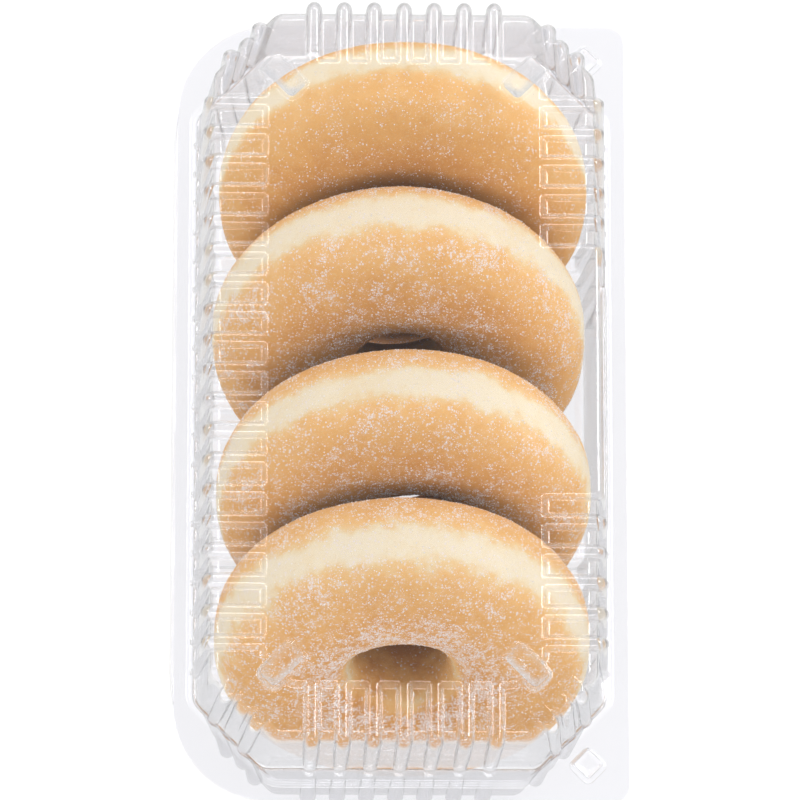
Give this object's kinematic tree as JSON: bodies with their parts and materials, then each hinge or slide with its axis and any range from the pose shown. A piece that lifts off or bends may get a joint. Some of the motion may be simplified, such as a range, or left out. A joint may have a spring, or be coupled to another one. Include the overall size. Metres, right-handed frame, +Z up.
{
  "type": "box of doughnuts",
  "caption": "Clear hinged takeaway pack, ribbed and shut, with sugared ring doughnuts standing in it; its lid opens flat.",
  "frame": {"origin": "on the surface that the pack stands on, under the middle of its flange outline", "axes": "+X across the pack from its hinge to its lock side, +Y along it towards the side that the doughnuts lean to, +Z up"},
  "size_m": [0.111, 0.1936, 0.0919],
  "materials": {
    "tray_sheet": "clear thermoformed plastic sheet, glossy",
    "lid_sheet": "clear thermoformed plastic sheet, glossy",
    "sugared_dough": "fried yeast dough, golden brown with a pale band, sugared"
  },
  "bodies": {
    "base": {"tray": "tray_sheet", "doughnut_1": "sugared_dough", "doughnut_2": "sugared_dough", "doughnut_3": "sugared_dough", "doughnut_4": "sugared_dough"},
    "lid": {"lid": "lid_sheet"}
  },
  "joints": [
    {"name": "lid_hinge", "type": "hinge", "parent": "base", "child": "lid", "pos_m": [-0.0555, 0, 0.04615], "axis": [0, -1, 0], "range_deg": [0, 180]}
  ]
}
